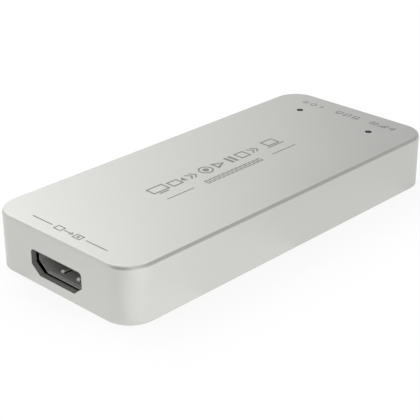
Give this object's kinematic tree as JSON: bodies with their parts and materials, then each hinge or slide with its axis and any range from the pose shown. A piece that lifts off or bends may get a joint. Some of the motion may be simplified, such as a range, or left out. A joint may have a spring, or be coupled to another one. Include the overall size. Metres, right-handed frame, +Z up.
{
  "type": "video capture box",
  "caption": "Slim silver aluminium video capture box with round upright corners, a video input socket at one end, a data socket at the other and lamp dots on top.",
  "frame": {"origin": "middle of the underside", "axes": "+X across the width, +Y along the length towards the data socket's end, +Z up; the video socket is at the -Y end"},
  "size_m": [0.041, 0.0944, 0.0124],
  "materials": {
    "case_aluminium": "bead blasted and clear anodised",
    "cover_aluminium": "bead blasted and clear anodised",
    "screw_steel": "dark nickel plated",
    "insulating_film": "thin black film",
    "board_laminate": "black solder mask",
    "bezel_plastic": "moulded satin",
    "video_shell_metal": "dull tin plated sheet",
    "insulator_plastic": "moulded matt",
    "contact_metal": "gold flashed",
    "data_shell_metal": "nickel plated sheet",
    "smoked_plastic": "smoked clear moulding",
    "lamp_resin": "clear resin",
    "chip_mould": "moulded epoxy",
    "tinned_leads": "matt tin",
    "thermal_pad": "soft filled silicone",
    "ferrite": "pressed ferrite",
    "tantalum_case": "moulded",
    "capacitor_ceramic": "fired ceramic",
    "resistor_ceramic": "glazed ceramic",
    "crystal_can": "nickel can"
  },
  "bodies": {
    "root": {"case_shell": "case_aluminium", "bottom_cover": "cover_aluminium", "cover_screws": "screw_steel", "insulating_sheet": "insulating_film", "main_board": "board_laminate", "board_screws": "screw_steel", "video_port_bezel": "bezel_plastic", "video_port_shell": "video_shell_metal", "video_port_insulator": "insulator_plastic", "video_port_contacts": "contact_metal", "data_port_shell": "data_shell_metal", "data_port_insulator": "insulator_plastic", "data_port_contacts": "contact_metal", "power_light_pipe": "smoked_plastic", "status_light_pipe": "smoked_plastic", "power_led": "lamp_resin", "status_led": "lamp_resin", "video_processor": "chip_mould", "receiver_chip": "chip_mould", "receiver_leads": "tinned_leads", "data_controller": "chip_mould", "memory_chips": "chip_mould", "flash_chip": "chip_mould", "flash_leads": "tinned_leads", "processor_thermal_pad": "thermal_pad", "receiver_thermal_pad": "thermal_pad", "regulators": "chip_mould", "regulator_leads": "tinned_leads", "power_inductors": "ferrite", "inductor_terminals": "tinned_leads", "tantalum_capacitors": "tantalum_case", "ceramic_capacitors": "capacitor_ceramic", "chip_resistors": "resistor_ceramic", "crystals": "crystal_can", "esd_arrays": "chip_mould"}
  },
  "joints": []
}
